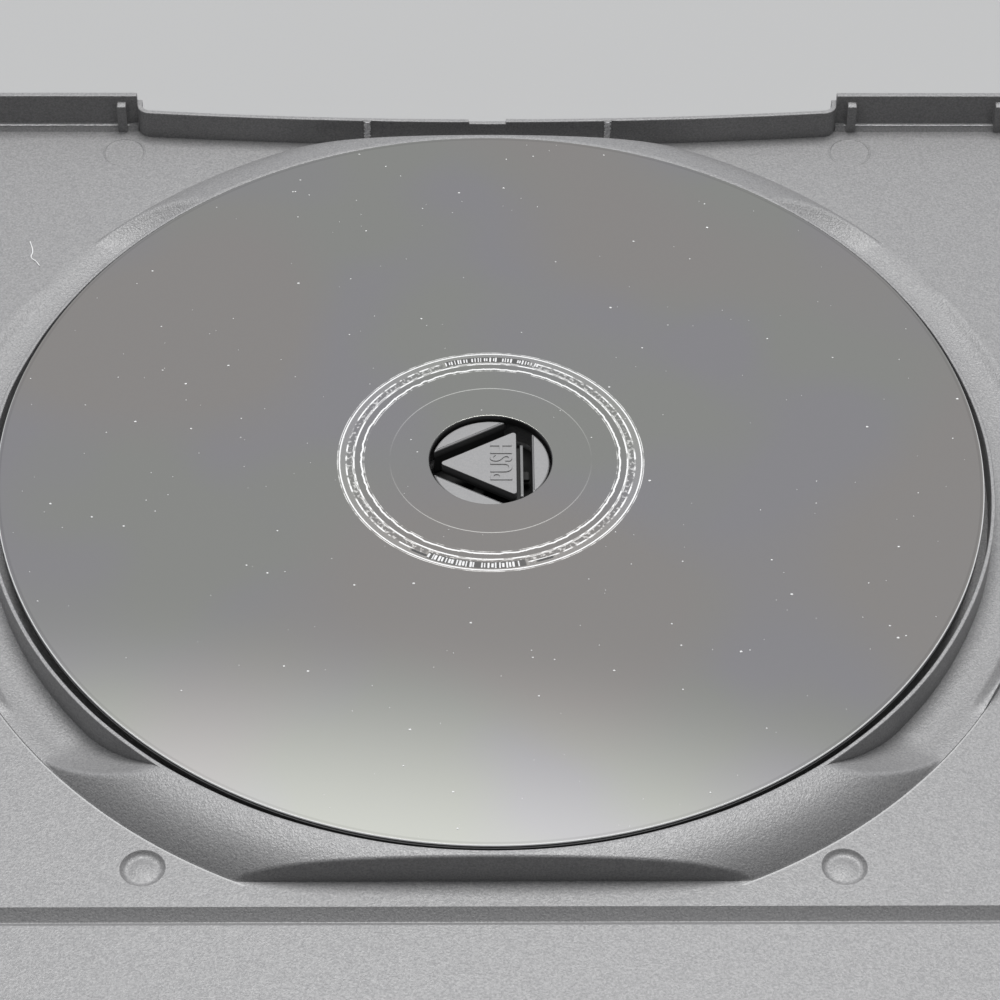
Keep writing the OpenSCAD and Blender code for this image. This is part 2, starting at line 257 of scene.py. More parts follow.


# %% [markdown]
# ## Moulded plastic
#
# The case is dark grey polypropylene. Under the photograph's strong light its floor looks mid grey,
# and the walls that face the camera stay dark. The mould is spark-eroded, so a fine matte grain
# covers the floor, and the ring's flank has a coarser, leathery one. The grain is a bump, because it
# is far too fine to be geometry. Some light and shade is painted into the colour: painted shade in the
# hub's recesses and on the floor under the hub, a pale line at the near foot of the ring as a painted
# highlight, and pale strips along the step as a painted highlight. Two pale, rough strips stand on the
# notch wall.


# %% The plastic's materials
def new_material(name):
    """A material with only a Principled shader and the Object coordinates centred on the disc."""
    material = bpy.data.materials.new(name)
    material.use_nodes = True
    tree = material.node_tree
    shader = tree.nodes["Principled BSDF"]
    place = add(tree, "ShaderNodeMapping", {"Location": (-DISC.x, -DISC.y, -DISC_TOP)})
    coordinates = add(tree, "ShaderNodeTexCoord")
    tree.links.new(coordinates.outputs["Object"], place.inputs["Vector"])
    return material, tree, shader, place.outputs[0]


def bump(tree, shader, height, distance, strength=1.0):
    """Feeds a height in 0 to 1 to the shader's normal, as relief of that many metres."""
    node = add(tree, "ShaderNodeBump", {"Height": height, "Distance": distance, "Strength": strength})
    tree.links.new(node.outputs[0], shader.inputs["Normal"])


GLOSS = 0.9


def plastic(name, colour, roughness, grain, relief, leather=0.0, fleck=0.14, recess_shade=None, line=None,
            hub=None):
    """Grey plastic. grain and relief are the grain's size and height in metres.

    sunk is a depth range below the disc's top over which the recesses get painted shade. line is the
    radius of a painted highlight, a thin pale line at the near foot of the ring, and hub the radius
    of painted shade over the tray's floor under the hub.
    """
    material, tree, shader, place = new_material(name)
    specular = shader.inputs["Specular IOR Level"]
    specular.default_value = GLOSS
    grain_out = use_group(tree, grain_group, place, Grain=grain, Leather=leather)
    body = mix_colour(tree, grain_out["Fleck"], grey(colour * (1 - fleck), (1.000, 0.992, 1.010)),
                      grey(colour * (1 + fleck), (1.008, 0.994, 0.998)))
    apart = add(tree, "ShaderNodeSeparateXYZ", {0: place}).outputs
    # Painted shade: the recesses below the disc's top turn dark, and the deepest also lose their sheen.
    if recess_shade:
        body = mix_colour(tree, span(tree, apart[2], -recess_shade[1], -recess_shade[0], 0.82, 0.0), body, grey(0.10))
        deep = span(tree, apart[2], -1.80 * MM, -1.25 * MM, 1.0, 0.0)
        body = mix_colour(tree, deep, body, grey(0.045))
        tree.links.new(math_node(tree, "MULTIPLY_ADD", deep, -GLOSS, GLOSS), specular)
    # Painted highlight: a thin pale line along the near foot of the ring.
    if line:
        mask = use_group(tree, ring_group, place, Radius=line, Half_Width=0.06 * MM,
                         Softness=0.10 * MM)
        near = span(tree, apart[1], -40 * MM, -30 * MM, 0.5, 0.0)
        above = span(tree, apart[2], FLOOR_Z - DISC_TOP - 0.3 * MM, FLOOR_Z - DISC_TOP - 0.1 * MM)
        inside = math_node(tree, "GREATER_THAN", apart[1], -62 * MM)
        foot_highlight_mask = math_node(tree, "MULTIPLY", math_node(tree, "MULTIPLY", near, above), inside)
        body = mix_colour(tree, math_node(tree, "MULTIPLY", mask["Mask"], foot_highlight_mask), body, grey(0.52))
    # Painted shade over the tray's floor under the hub, which also loses its sheen.
    if hub:
        mask = use_group(tree, ring_group, place, Radius=0.0, Half_Width=hub, Softness=0.5 * MM)
        body = mix_colour(tree, mask["Mask"], body, grey(0.022))
        tree.links.new(math_node(tree, "MULTIPLY_ADD", mask["Mask"], -GLOSS, GLOSS), specular)
    tree.links.new(body, shader.inputs["Base Color"])
    rough = span(tree, grain_out["Fleck"], 0.0, 1.0, roughness + 0.05, roughness - 0.05)
    tree.links.new(rough, shader.inputs["Roughness"])
    bump(tree, shader, grain_out["Height"], relief)
    return material


RING_RADIUS = DISC_RADIUS + 7.8 * MM
tray_plastic = plastic("tray_plastic", 0.22, 0.44, 0.26 * MM, 0.060 * MM, fleck=0.22,
                       line=RING_RADIUS + 0.10 * MM, hub=7.6 * MM)
ring_plastic = plastic("ring_plastic", 0.225, 0.43, 0.26 * MM, 0.062 * MM, leather=1.0, fleck=0.22)
hub_plastic = plastic("hub_plastic", 0.22, 0.44, 0.24 * MM, 0.012 * MM, fleck=0.07,
                      recess_shade=(0.68 * MM, 0.85 * MM))
# Pale, rough plastic for the strips. Along the step it is a painted highlight.
highlight_and_pale_strips = plastic("highlight_and_pale_strips", 0.80, 0.50, 0.35 * MM, 0.120 * MM, leather=1.0, fleck=0.22)

# %% [markdown]
# ## The disc's finish
#
# The data side is a mirror under clear polycarbonate. It shows a plain studio, mid grey at the far
# side and bright close to the camera. Fine turned rings sit round the hole: a moulded one, the
# stacking ring, and broken ones with a paler band between them. Their pale lines are painted
# highlights of the light the rings catch. Two dark arcs carry the code marks. The mirror layer stops
# just short of the rim. The clear edge and the wall of the hole are painted dark as shade, with painted
# highlights along their top edges, stronger on the near half, and a pale line lower down the edge.


# %% The data side
def disc_finish():
    material, tree, shader, place = new_material("disc_mirror")
    slow = add(tree, "ShaderNodeTexNoise", {"Vector": place, "Scale": 38.0, "Detail": 1.0})
    cast = add(tree, "ShaderNodeTexNoise", {"Vector": place, "Scale": 23.0, "Detail": 0.0})
    cool = mix_colour(tree, span(tree, slow.outputs[0], 0.42, 0.58),
                      (0.608, 0.607, 0.553, 1), (0.604, 0.588, 0.586, 1))
    mirror = mix_colour(tree, span(tree, cast.outputs[0], 0.50, 0.62), cool, (0.626, 0.592, 0.548, 1))

    # The angle round the axis drives everything that is dashed or wavy
    apart = add(tree, "ShaderNodeSeparateXYZ", {0: place})
    angle = math_node(tree, "ARCTAN2", apart.outputs[1], apart.outputs[0])
    round_trip = add(tree, "ShaderNodeCombineXYZ", {
        0: math_node(tree, "COSINE", angle), 1: math_node(tree, "SINE", angle)}).outputs[0]
    wave = add(tree, "ShaderNodeTexNoise", {"Vector": round_trip, "Scale": 13.0, "Detail": 2.0})
    wobble = math_node(tree, "MULTIPLY", math_node(tree, "SUBTRACT", wave.outputs[0], 0.5), 0.45 * MM)
    dashes = span(tree, wave.outputs[0], 0.40, 0.54, 0.35, 1.0)
    broken = span(tree, wave.outputs[0], 0.58, 0.46, 0.10, 1.0)
    streak = add(tree, "ShaderNodeTexNoise", {"Vector": place, "Scale": 2100.0, "Detail": 1.0})
    streaks = span(tree, streak.outputs[0], 0.52, 0.66)
    ends = math_node(tree, "ABSOLUTE", math_node(tree, "SINE", angle))

    def ring_at(radius, half, soft=0.05):
        return use_group(tree, ring_group, place, Radius=radius, Half_Width=half * MM,
                         Softness=soft * MM)["Mask"]

    def both(a, b):
        return math_node(tree, "MULTIPLY", a, b)

    # The pale rings are painted highlights on the disc's moulded rings, some wavy, dashed or broken.
    wavy_radius = math_node(tree, "ADD", wobble, 15.75 * MM)
    marks = [
        (both(ring_at(12.3 * MM, 0.03), ends), 0.40),
        (ring_at(wavy_radius, 0.08), 0.90),
        (both(ring_at(15.45 * MM, 0.03), broken), 0.50),
        (both(ring_at(16.68 * MM, 0.07), dashes), 0.90),
        (both(ring_at(16.85 * MM, 0.03), broken), 0.60),
        (both(ring_at(17.2 * MM, 0.45), streaks), 0.40),
        (both(ring_at(17.6 * MM, 0.07), broken), 0.90),
        (ring_at(18.0 * MM, 0.35, 0.1), 0.10),
        (ring_at(18.42 * MM, 0.06), 0.90),
        (both(ring_at(18.66 * MM, 0.03), dashes), 0.60),
    ]
    bright = 0.0
    for mask, strength in marks:
        bright = math_node(tree, "MAXIMUM", bright, math_node(tree, "MULTIPLY", mask, strength))

    def arc(centre, half):
        """One over an arc of the disc, given by its middle and half its sweep in degrees."""
        turned = math_node(tree, "COSINE", math_node(tree, "SUBTRACT", angle, math.radians(centre)))
        return span(tree, turned, math.cos(math.radians(half + 2)), math.cos(math.radians(half)))

    code = math_node(tree, "MAXIMUM", both(ring_at(17.65 * MM, 0.50), arc(-96, 19)),
                     both(ring_at(17.45 * MM, 0.42), arc(91, 17)))
    strokes = both(ring_at(17.8 * MM, 0.16), math_node(tree, "MAXIMUM", arc(-119, 3), arc(-69, 3)))
    dark = math_node(tree, "MAXIMUM", both(code, 0.95), strokes)
    bright = both(bright, math_node(tree, "SUBTRACT", 1.0, dark))

    # The clear edge, by depth below the top face, and the wall of the hole: painted shade, with painted
    # highlights along the top edges and a pale lower line
    depth = math_node(tree, "MULTIPLY", apart.outputs[2], -1.0 / MM)
    edge = ring_at(DISC_RADIUS, 0.13, 0.02)
    near_half = span(tree, apart.outputs[1], -6 * MM, 22 * MM, 1.0, 0.12)
    rim_top_highlight = both(span(tree, depth, 0.16, 0.22, 1.0, 0.0), near_half)
    line_low = both(span(tree, depth, 0.34, 0.39), span(tree, depth, 0.52, 0.58, 1.0, 0.0))
    glow = both(edge, math_node(tree, "MAXIMUM", rim_top_highlight, line_low))
    hole_highlight = both(ring_at(HOLE_RADIUS, 0.10, 0.02), span(tree, depth, 0.10, 0.16, 1.0, 0.0))
    side = math_node(tree, "MAXIMUM", span(tree, depth, 0.15, 0.20), edge)
    clear = math_node(tree, "MAXIMUM", side, ring_at(HOLE_RADIUS, 0.10, 0.02))
    light = math_node(tree, "MAXIMUM", glow, math_node(tree, "MULTIPLY", hole_highlight, 0.12))

    shade = ring_at(59.6 * MM, 0.05, 0.15)
    face = mix_colour(tree, math_node(tree, "MULTIPLY", shade, 0.14), mirror, grey(0.05))
    lit = mix_colour(tree, dark, mix_colour(tree, bright, face, grey(0.80)), grey(0.03))
    # Painted shade on the edge and the hole's wall, lifted by the painted highlights
    rim = mix_colour(tree, light, grey(0.025), grey(0.62))
    tree.links.new(mix_colour(tree, clear, lit, rim), shader.inputs["Base Color"])
    not_metal = math_node(tree, "MAXIMUM", math_node(tree, "MAXIMUM", bright, dark), clear)
    tree.links.new(math_node(tree, "SUBTRACT", 1.0, not_metal), shader.inputs["Metallic"])
    tree.links.new(math_node(tree, "MULTIPLY_ADD", not_metal, 0.35, 0.06), shader.inputs["Roughness"])
    return material


disc_mirror = disc_finish()

# %% [markdown]
# ## Film, paper and dust
#
# The sleeve is clear film, so it is glass-like with a thin wall. The paper behind it is plain, with
# fibres and one lighter band, because the photograph doesn't show the outside.


# %% The remaining materials
def film_finish():
    material, tree, shader, place = new_material("clear_film")
    ripple = add(tree, "ShaderNodeTexNoise", {"Vector": place, "Scale": 60.0, "Detail": 2.0})
    shader.inputs["Transmission Weight"].default_value = 1.0
    shader.inputs["IOR"].default_value = 1.49
    tree.links.new(mix_colour(tree, ripple.outputs[0], (0.93, 0.95, 0.97, 1), (0.98, 0.99, 1.0, 1)),
                   shader.inputs["Base Color"])
    tree.links.new(span(tree, ripple.outputs[0], 0.3, 0.7, 0.04, 0.12), shader.inputs["Roughness"])
    bump(tree, shader, ripple.outputs[0], 0.1 * MM)
    return material


def paper_finish():
    material, tree, shader, place = new_material("inlay_paper")
    fibres = add(tree, "ShaderNodeTexNoise", {"Vector": place, "Scale": 1500.0, "Detail": 3.0})
    sheet = mix_colour(tree, fibres.outputs[0], (0.020, 0.045, 0.085, 1), (0.030, 0.060, 0.110, 1))
    apart = add(tree, "ShaderNodeSeparateXYZ", {0: place})
    band = math_node(tree, "LESS_THAN", apart.outputs[0], -75 * MM)
    tree.links.new(mix_colour(tree, band, sheet, (0.30, 0.34, 0.38, 1)), shader.inputs["Base Color"])
    shader.inputs["Roughness"].default_value = 0.6
    bump(tree, shader, fibres.outputs[0], 0.02 * MM)
    return material


def dust_finish(name, low, high):
    material, tree, shader, place = new_material(name)
    cloud = add(tree, "ShaderNodeTexNoise", {"Vector": place, "Scale": 900.0})
    tree.links.new(mix_colour(tree, cloud.outputs[0], grey(low), grey(high)),
                   shader.inputs["Base Color"])
    shader.inputs["Roughness"].default_value = 0.7
    return material


clear_film = film_finish()
inlay_paper = paper_finish()
dust = dust_finish("dust", 0.62, 0.90)
code_ink = dust_finish("code_marks", 0.55, 0.85)

# %% [markdown]
# ## Rounding the mouldings
#
# No moulded edge is perfectly sharp, and the soft line of light along an edge is what makes plastic
# look like plastic. The CAD meshes are loose triangles, so a copy is merged and its flat faces are
# joined up. A Bevel modifier then rounds the chosen edges, with a weight on each edge that keeps the
# rounding smaller than the nearest short edge. A Weighted Normal modifier keeps the wide flats flat.


# %% Helpers that make and round a piece
def as_mesh(name, work):
    """Turns a bmesh into a mesh and frees it."""
    mesh = bpy.data.meshes.new(name)
    work.to_mesh(mesh)
    work.free()
    return mesh


def new_piece(name, mesh, body, material):
    """Puts a finished mesh in the scene, riding on a body."""
    mesh.materials.clear()
    mesh.materials.append(material)
    piece = into_scene(name, mesh)
    if body:
        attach(piece, body)
    return piece


def apply_modifiers(piece):
    """Turns the evaluated result into the piece's plain mesh."""
    bpy.context.view_layer.update()
    evaluated = piece.evaluated_get(bpy.context.evaluated_depsgraph_get())
    mesh = bpy.data.meshes.new_from_object(evaluated)
    piece.modifiers.clear()
    piece.data = mesh


def smooth_hard(piece, sharp=34):
    """Smooth shading that breaks at sharp edges and leans towards the large faces."""
    piece.data.shade_smooth()
    piece.data.set_sharp_from_angle(angle=math.radians(sharp))
    weighted = piece.modifiers.new("flat faces", "WEIGHTED_NORMAL")
    weighted.mode = "FACE_AREA"
    weighted.weight = 90
    weighted.keep_sharp = True
    apply_modifiers(piece)


def clean_copy(node):
    """A merged bmesh of a CAD node, with its loose triangles welded."""
    work = bmesh.new()
    work.from_mesh(frame["nodes"][node].data)
    bmesh.ops.remove_doubles(work, verts=work.verts, dist=1e-6)
    return work


def round_edges(work, name, body, material, width, chosen=lambda middle: True, sharp=28):
    """Joins flat faces, rounds the chosen sharp edges and returns the finished piece."""
    bmesh.ops.dissolve_limit(work, angle_limit=math.radians(0.4), verts=work.verts, edges=work.edges)
    weights = work.edges.layers.float.new("bevel_weight_edge")
    for edge in work.edges:
        if not edge.is_manifold or edge.calc_face_angle(0) < math.radians(sharp):
            continue
        if chosen((edge.verts[0].co + edge.verts[1].co) / 2):
            room = min(e.calc_length() for v in edge.verts for e in v.link_edges)
            edge[weights] = min(width, 0.45 * room) / width
    piece = into_scene(name, as_mesh(name, work))
    bevel = piece.modifiers.new("round", "BEVEL")
    bevel.width = width
    bevel.segments = 3
    bevel.limit_method = "WEIGHT"
    bevel.use_clamp_overlap = False
    apply_modifiers(piece)
    smooth_hard(piece)
    piece.data.materials.clear()
    piece.data.materials.append(material)
    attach(piece, body)
    print(f"{name}: {len(piece.data.polygons)} faces")
    return piece


# %% [markdown]
# ## The tray's shell
#
# The domed ring is rebuilt in finer steps in the next cells, so the copy of the tray loses its ring
# first. That leaves a gap in the panel, which becomes a shallow trench for the new ring to stand in.
# The round marks of the mould get a finer profile: two dishes near the fold, and two flat marks with
# a low bead round them at the opening edge. Only the walls, the step and the ribs are rounded.

# %% Cut the ring out of the copy
WELL = DISC_RADIUS + 0.85 * MM
LIP = WELL + 0.5 * MM
OUTER = RING_RADIUS
FLAT = LIP + 0.05 * MM
TRENCH_Z = FLOOR_Z - 0.55 * MM


def disc_reach(point):
    return math.hypot(point.x - DISC.x, point.y - DISC.y)


def in_ring(face):
    """Whether a face belongs to the ring, with its scoops, and not to the panel round it."""
    near = all(WELL - 0.05 * MM < disc_reach(v.co) < OUTER + 0.05 * MM
               and abs(v.co.y - DISC.y) < FLAT + 0.05 * MM for v in face.verts)
    base, panel = (all(abs(v.co.z - level) < 0.01 * MM for v in face.verts)
                   for level in (BASE_Z, FLOOR_Z))
    within = WELL + 0.05 * MM < disc_reach(face.calc_center_median()) < OUTER - 0.05 * MM
    return near and not base and (within or not panel)


def open_trench(work):
    """Deletes the ring and closes the panel below it."""
    bmesh.ops.delete(work, geom=[f for f in work.faces if in_ring(f)], context="FACES")
    low = [e for e in work.edges if e.is_boundary and e.verts[0].co.z < FLOOR_Z - 0.5 * MM]
    bmesh.ops.triangle_fill(work, use_beauty=True, edges=low)
    rims = [e for e in work.edges if e.is_boundary]
    drop = bmesh.ops.extrude_edge_only(work, edges=rims)
    lowered = [v for v in drop["geom"] if isinstance(v, bmesh.types.BMVert)]
    for vert in lowered:
        vert.co.z = TRENCH_Z
    loops = [e for e in drop["geom"] if isinstance(e, bmesh.types.BMEdge) and e.is_boundary]
    bmesh.ops.triangle_fill(work, use_beauty=True, edges=loops)
    bmesh.ops.recalc_face_normals(work, faces=work.faces)
    print("open edges left:", sum(1 for e in work.edges if not e.is_manifold))


def mould_mark(work, x, y, size, profile):
    """Gives one mark of the mould a new profile: radius and height in millimetres, from its rim in."""
    def reach(vert):
        return math.hypot(vert.co.x - x, vert.co.y - y)

    old = [f for f in work.faces if all(reach(v) < size + 0.1 * MM and abs(v.co.z - FLOOR_Z) < 0.7 * MM
                                        for v in f.verts)]
    bmesh.ops.delete(work, geom=old, context="FACES")
    edges = [e for e in work.edges if e.is_boundary and reach(e.verts[0]) < size + 0.1 * MM]
    for vert in {v for e in edges for v in e.verts}:
        grown = profile[0][0] * MM / reach(vert)
        vert.co = (x + (vert.co.x - x) * grown, y + (vert.co.y - y) * grown, FLOOR_Z)
    for radius, height in profile[1:]:
        step = bmesh.ops.extrude_edge_only(work, edges=edges)["geom"]
        for vert in [v for v in step if isinstance(v, bmesh.types.BMVert)]:
            shrunk = radius * MM / reach(vert)
            vert.co = (x + (vert.co.x - x) * shrunk, y + (vert.co.y - y) * shrunk,
                       FLOOR_Z + height * MM)
        edges = [e for e in step if isinstance(e, bmesh.types.BMEdge) and e.is_boundary]
    bmesh.ops.edgeloop_fill(work, edges=edges)


def in_fixed_order(work):
    """The same mesh, with its vertices and faces sorted by position, so that every run is alike."""
    points = sorted(work.verts, key=lambda v: tuple(v.co))
    number = {vert: i for i, vert in enumerate(points)}
    faces = []
    for face in work.faces:
        loop = [number[vert] for vert in face.verts]
        first = loop.index(min(loop))
        faces.append(loop[first:] + loop[:first])
    mesh = bpy.data.meshes.new("in_order")
    mesh.from_pydata([vert.co for vert in points], [], sorted(faces))
    work.clear()
    work.from_mesh(mesh)
    bpy.data.meshes.remove(mesh)


tray_work = clean_copy("back_tray")
open_trench(tray_work)
MARK_RADIUS = 2.45 * MM
DISH_X, DISH_Y = 39.2 * MM, DISC.y - 59.4 * MM
FLAT_MARK_X, FLAT_MARK_Y = 48.7 * MM, DISC.y + 62.3 * MM
DISH = [(2.62, 0), (2.56, -0.04), (2.48, -0.13), (2.38, -0.27), (2.24, -0.42), (2.06, -0.53),
        (1.85, -0.58), (1.62, -0.57), (1.38, -0.51), (1.10, -0.44), (0.80, -0.40), (0.45, -0.38),
        (0.20, -0.375)]
FLAT_MARK = [(2.85, 0), (2.80, 0.05), (2.72, 0.07), (2.64, 0.05), (2.58, -0.03), (2.50, -0.07),
             (1.5, -0.07), (0.6, -0.07)]
for side in (-1, 1):
    mould_mark(tray_work, side * DISH_X, DISH_Y, MARK_RADIUS, DISH)
    mould_mark(tray_work, side * FLAT_MARK_X, FLAT_MARK_Y, MARK_RADIUS, FLAT_MARK)
in_fixed_order(tray_work)
bmesh.ops.recalc_face_normals(tray_work, faces=tray_work.faces)
print("open edges after the marks:", sum(1 for e in tray_work.edges if not e.is_manifold))


# %% Round the tray's walls
def on_tray_wall(middle):
    return middle.z > FLOOR_Z + 0.3 * MM and (disc_reach(middle) > OUTER
                                              or abs(middle.y - DISC.y) > FLAT + MM)


tray_shell = round_edges(tray_work, "tray_shell", "tray", tray_plastic, 0.16 * MM, on_tray_wall)
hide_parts("back_tray")

# %% [markdown]
# ## The ring round the well
#
# The ring is a thin wall with a dome falling away outside it. Two flats cut it at the near and far
# side, and two long scoops for the fingers cut it at the left and right, with a ramp at each end.
# The photograph shows a soft crest where a ramp meets the dome, a low rim along each scoop, and
# rounded top edges, so the whole ring is one height field on a polar grid:
#
# - the dome starts at 13 degrees and ends at 55, over its share *s* of the ring's width;
# - a ramp climbs with the distance across the case, and starts further out near the rim;
# - the lower of the two wins, with a soft blend between them.

# %% Heights of the ring
RING_TOP = DISC_TOP - 0.32 * MM
WALL = 0.5 * MM
WALL_ROUND = 0.12 * MM
FLAT_ROUND = 0.32 * MM
DRAFT = 0.2 * MM
SCOOP_Z = FLOOR_Z - 0.25 * MM
RAMP_START = 39.5 * MM
RAMP_LENGTH = 8.5 * MM


def rounding(inside, radius):
    """How far a rounded edge falls below its flat top, this far in from the edge."""
    gap = max(radius - inside, 0.0)
    return radius - math.sqrt(max(radius ** 2 - gap ** 2, 0.0))


def soft_min(a, b, blend):
    """The lower of two heights, with a rounded meeting of about the blend's width."""
    h = max(blend - abs(a - b), 0.0) / blend
    return min(a, b) - h * h * blend / 4


def smooth_step(value, low, high):
    t = min(max((value - low) / (high - low), 0.0), 1.0)
    return t * t * (3 - 2 * t)


def dome_height(s):
    return RING_TOP - (RING_TOP - FLOOR_Z) * (0.37 * s + 0.63 * s ** 3.0)


def ramp_height(across, s):
    begin = RAMP_START + 2.2 * MM * (1 - (1 - s) ** 2)
    share = max((across - begin) / RAMP_LENGTH, 0.0)
    return SCOOP_Z + (RING_TOP - SCOOP_Z) * share ** 1.75


def rim_height(y, s):
    """The scoop's floor: it turns up towards its outer rim, most of all on the side of the fold."""
    across = abs(y)
    edge = (0.40 - 0.16 * smooth_step(across, 43 * MM, 48 * MM)) * MM * smooth_step(s, 0.35, 1.0)
    steep = 0.95 * MM * smooth_step(37.4 * MM - across, 0.0, 4.0 * MM)
    slow = 0.25 * MM * smooth_step(36.0 * MM - across, 0.0, 10 * MM)
    side = 1.0 if y < 0 else 0.3
    return SCOOP_Z + edge + side * (steep + slow) * smooth_step(s, 0.72, 0.98)


# Inner radius of the wall's top, in millimetres, at angles round the disc
WELL_EDGE = [(0, 60.75), (20, 60.35), (30, 60.25), (60, 60.25), (90, 60.25), (120, 60.25), (140, 60.25),
             (150, 60.30), (160, 60.45), (170, 60.75), (185, 60.93), (210, 60.95), (220, 60.90),
             (230, 60.80), (240, 60.63), (255, 60.42), (270, 60.33), (285, 60.38), (300, 60.53),
             (310, 60.66), (330, 60.88), (345, 60.95), (360, 60.75)]


def well_edge(angle):
    """The wall's top isn't quite round: it leans in at the far side and in the middle of the near side."""
    for (a, low), (b, high) in zip(WELL_EDGE, WELL_EDGE[1:]):
        if a <= angle <= b:
            return (low + (high - low) * smooth_step(angle, a, b)) * MM


def ring_height(x, y, well):
    """Height of the ring's top over a point, given from the disc's middle and the well's radius."""
    r = math.hypot(x, y)
    across = abs(y)
    lip = well + WALL
    if r <= lip:
        deep = min(max((RING_TOP - ramp_height(across, 0.0)) / (0.4 * MM), 0.0), 1.0)
        z = RING_TOP - rounding(r - well, WALL_ROUND) - deep * rounding(lip - r, WALL_ROUND)
    else:
        s = min((r - lip) / (OUTER - lip), 1.0)
        z = soft_min(dome_height(s), ramp_height(across, s), 0.5 * MM)
        z = -soft_min(-z, -rim_height(y, s), 0.15 * MM)
    fade = min(max((z - FLOOR_Z) / (2 * FLAT_ROUND), 0.0), 1.0)
    z -= fade * rounding(max(FLAT - DRAFT - across, 0.0), FLAT_ROUND)
    if FLAT - across < DRAFT:
        z = FLOOR_Z + (z - FLOOR_Z) * (FLAT - across) / DRAFT
    return z


# %% The polar grid
def ring_angles():
    """Steps round the ring, finer over the ramps, with the flats' four corners exact."""
    corner = math.degrees(math.asin(FLAT / OUTER))
    quarter = [i * 0.5 for i in range(70)] + [35 + i * 0.25 for i in range(81)]
    quarter += [55 + i * 0.5 for i in range(1, 70)]
    nearest = min(range(len(quarter)), key=lambda i: abs(quarter[i] - corner))
    quarter[nearest] = corner
    full = quarter + [180 - a for a in reversed(quarter) if a < 90]
    full += [180 + a for a in quarter if a > 0] + [360 - a for a in reversed(quarter) if 0 < a < 90]
    return sorted(set(round(a, 5) for a in full if a < 360))


def ring_shares():
    """Radial steps as shares of the full width, without the last millimetre fraction."""
    width = OUTER - WELL - 0.3 * MM
    steps = [0, 0.008, 0.035, 0.075, 0.12, 0.25, 0.38, 0.42, 0.46, 0.485, 0.5, 0.512, 0.524, 0.536]
    steps += [0.62 + (6.65 - 0.62) * i / 33 for i in range(34)]
    return [step * MM / width for step in steps]


def build_ring():
    work = bmesh.new()
    columns = []
    for angle in ring_angles():
        c, s = math.cos(math.radians(angle)), math.sin(math.radians(angle))
        well = well_edge(angle)
        end = min(OUTER, FLAT / max(abs(s), 1e-6))
        cut = 0.5 * MM if end < OUTER else 0.3 * MM
        reach = [well + share * (end - well - cut) for share in ring_shares()]
        reach += [end - cut * share for share in (0.86, 0.72, 0.62, 0.54, 0.47, 0.41, 0.2, 0.0)]
        points = [(WELL, TRENCH_Z + 0.05 * MM), (WELL, FLOOR_Z)]
        points += [(r, ring_height(r * c, r * s, well)) for r in reach]
        points += [(end, FLOOR_Z - 0.3 * MM), (end, TRENCH_Z + 0.05 * MM)]
        columns.append([work.verts.new((DISC.x + r * c, DISC.y + r * s, z)) for r, z in points])
    count = len(columns)
    for i in range(count):
        here, there = columns[i], columns[(i + 1) % count]
        rows = len(here)
        for k in range(rows):
            work.faces.new((here[k], there[k], there[(k + 1) % rows], here[(k + 1) % rows]))
    bmesh.ops.recalc_face_normals(work, faces=work.faces)
    mesh = as_mesh("disc_ring", work)
    mesh.shade_smooth()
    mesh.set_sharp_from_angle(angle=math.radians(32))
    print("disc_ring:", len(mesh.polygons), "faces")
    return new_piece("disc_ring", mesh, "tray", ring_plastic)


build_ring()

# %% The cover and the spine
cover_shell = round_edges(clean_copy("front_cover"), "cover_shell", "cover", tray_plastic, 0.15 * MM)
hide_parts("front_cover")
spine_shell = round_edges(clean_copy("spine"), "spine_shell", "spine", tray_plastic, 0.10 * MM)
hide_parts("spine")

# %% The hub
plate_shell = round_edges(clean_copy("hub_push_plate"), "push_plate_shell", "push_plate", hub_plastic,
                          0.30 * MM)
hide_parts("hub_push_plate")
for side in ("right", "far", "near"):
    shell = round_edges(clean_copy(f"hub_finger_{side}"), f"finger_shell_{side}", f"finger_{side}",
                        hub_plastic, 0.24 * MM)
    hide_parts(f"hub_finger_{side}")


# %% [markdown]
# ## Small parts of the hub
#
# The plate says what to do with it, in small raised capitals that read from the case's foot to its
# head. A thin rail stands in the groove on the plate's right, and belongs to the plate.


# %% Letters
WORD_LENGTH, WORD_HEIGHT = 6.1 * MM, 2.7 * MM
WORD_PLACE = Vector((1.28 * MM, DISC.y + 0.08 * MM, plate_high.z + 0.03 * MM))


def curve_mesh(curve):
    """The mesh of a text or a curve."""
    holder = into_scene(curve.name + "_curve", curve)
    bpy.context.view_layer.update()
    mesh = bpy.data.meshes.new_from_object(holder.evaluated_get(bpy.context.evaluated_depsgraph_get()))
    bpy.data.objects.remove(holder)
    return mesh


def plate_word():
    curve = bpy.data.curves.new("plate_word", "FONT")
    curve.body = "PUSH"
    curve.size = 4.07 * MM
    curve.align_x = "CENTER"
    curve.align_y = "CENTER"
    curve.extrude = 0.07 * MM
    curve.bevel_depth = 0.04 * MM
    mesh = curve_mesh(curve)
    low = Vector([min(v.co[i] for v in mesh.vertices) for i in range(3)])
    high = Vector([max(v.co[i] for v in mesh.vertices) for i in range(3)])
    squeeze = Matrix.Diagonal((WORD_LENGTH / (high.x - low.x), WORD_HEIGHT / (high.y - low.y), 1, 1))
    centred = Matrix.Translation(-(low + high) / 2)
    mesh.transform(Matrix.Translation(WORD_PLACE) @ Matrix.Rotation(math.pi / 2, 4, "Z")
                   @ squeeze @ centred)
    return new_piece("plate_word", mesh, "push_plate", hub_plastic)


plate_word()


# %% The rail in the groove
def bar(name, work, rings):
    """A closed bar through rings of points, with a flat face at each end."""
    for a, b in zip(rings, rings[1:]):
        for k in range(len(a)):
            n = (k + 1) % len(a)
            work.faces.new((a[k], a[n], b[n], b[k]))
    work.faces.new(rings[0])
    work.faces.new(reversed(rings[-1]))
    bmesh.ops.recalc_face_normals(work, faces=work.faces)
    return as_mesh(name, work)


